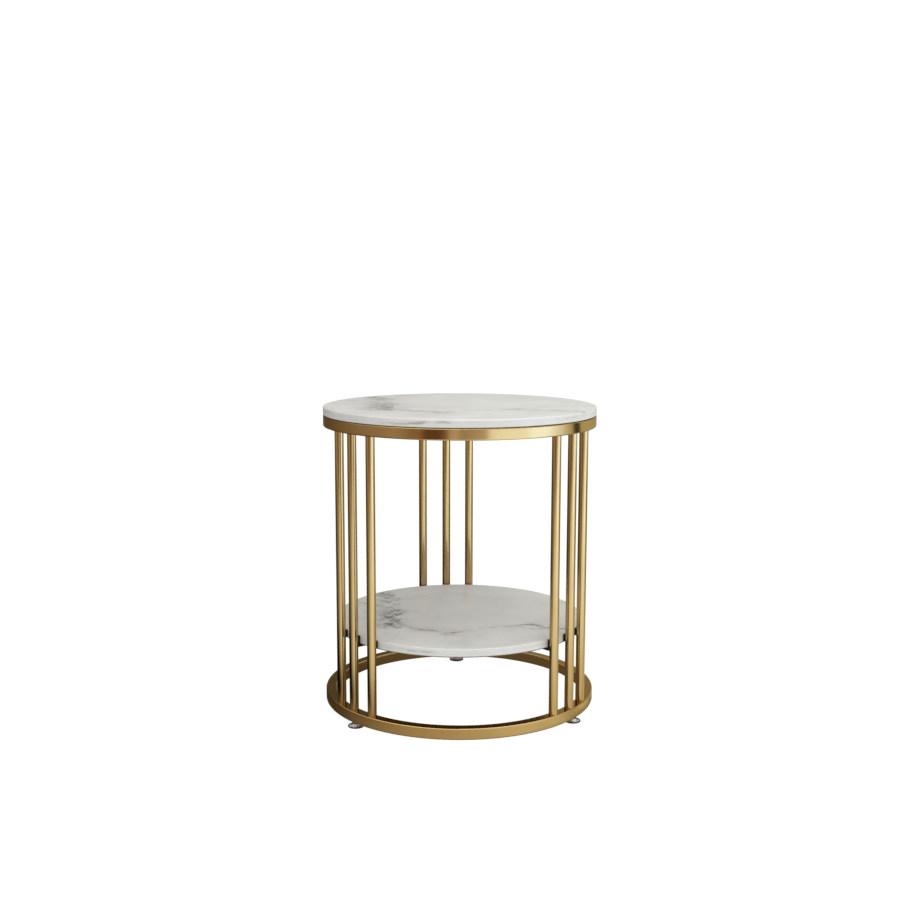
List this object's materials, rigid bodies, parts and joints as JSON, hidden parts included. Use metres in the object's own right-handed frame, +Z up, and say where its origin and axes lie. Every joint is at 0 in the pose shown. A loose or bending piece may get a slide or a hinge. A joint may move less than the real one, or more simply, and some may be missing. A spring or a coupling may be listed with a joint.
{
  "type": "round two-tier side table",
  "caption": "Round side table with a polished marble top and lower shelf, carried by groups of slim posts between two gold square-tube rings on levelling feet.",
  "frame": {"origin": "centre of the table, on the floor under the soles of the feet", "axes": "+Z up along the table's centre line; -Y is the front, between the left and right post groups, with the rear group behind"},
  "size_m": [0.5, 0.5041, 0.5572],
  "materials": {
    "marble": "polished white marble with soft grey veins",
    "gold_steel": "satin gold, titanium-coated stainless steel",
    "black_nylon": "fine moulded texture, black",
    "zinc_steel": "bright zinc plating",
    "backing": "brown glass-fibre and resin sheet, dull",
    "grey_rubber": "dark grey rubber, slightly shiny",
    "plated_disc": "bright nickel plating"
  },
  "bodies": {
    "frame": {"lower_ring": "gold_steel", "upper_ring": "gold_steel", "rear_post_1": "gold_steel", "rear_post_2": "gold_steel", "rear_post_3": "gold_steel", "left_post_1": "gold_steel", "left_post_2": "gold_steel", "left_post_3": "gold_steel", "right_post_1": "gold_steel", "right_post_2": "gold_steel", "right_post_3": "gold_steel", "top_slab": "marble", "top_backing": "backing", "shelf_slab": "marble", "shelf_backing": "backing", "rear_shelf_support_1": "black_nylon", "rear_shelf_support_2": "black_nylon", "rear_shelf_support_3": "black_nylon", "left_shelf_support_1": "black_nylon", "left_shelf_support_2": "black_nylon", "left_shelf_support_3": "black_nylon", "right_shelf_support_1": "black_nylon", "right_shelf_support_2": "black_nylon", "right_shelf_support_3": "black_nylon", "shelf_support_screws": "zinc_steel", "foot_left_nut": "zinc_steel", "foot_right_nut": "zinc_steel", "foot_rear_nut": "zinc_steel"},
    "left_foot": {"foot_left_cup": "grey_rubber", "foot_left_disc": "plated_disc"},
    "left_foot_screw": {"foot_left_stud": "zinc_steel"},
    "right_foot": {"foot_right_cup": "grey_rubber", "foot_right_disc": "plated_disc"},
    "right_foot_screw": {"foot_right_stud": "zinc_steel"},
    "rear_foot": {"foot_rear_cup": "grey_rubber", "foot_rear_disc": "plated_disc"},
    "rear_foot_screw": {"foot_rear_stud": "zinc_steel"}
  },
  "joints": [
    {"name": "left_foot_level", "type": "slide", "parent": "frame", "child": "left_foot", "axis": [0, 0, -1], "range_m": [0, 0.01]},
    {"name": "left_foot_turn", "type": "hinge", "parent": "left_foot", "child": "left_foot_screw", "pos_m": [-0.18277, -0.15555, 0.01], "axis": [0, 0, -1], "range_deg": [0, 2880]},
    {"name": "right_foot_level", "type": "slide", "parent": "frame", "child": "right_foot", "axis": [0, 0, -1], "range_m": [0, 0.01]},
    {"name": "right_foot_turn", "type": "hinge", "parent": "right_foot", "child": "right_foot_screw", "pos_m": [0.20353, -0.12718, 0.01], "axis": [0, 0, -1], "range_deg": [0, 2880]},
    {"name": "rear_foot_level", "type": "slide", "parent": "frame", "child": "rear_foot", "axis": [0, 0, -1], "range_m": [0, 0.01]},
    {"name": "rear_foot_turn", "type": "hinge", "parent": "rear_foot", "child": "rear_foot_screw", "pos_m": [-0.00586, 0.23993, 0.01], "axis": [0, 0, -1], "range_deg": [0, 2880]}
  ],
  "couplings": [
    {"joint": "left_foot_turn", "follows": "left_foot_level", "rad_per_m": 5026.5},
    {"joint": "right_foot_turn", "follows": "right_foot_level", "rad_per_m": 5026.5},
    {"joint": "rear_foot_turn", "follows": "rear_foot_level", "rad_per_m": 5026.5}
  ]
}
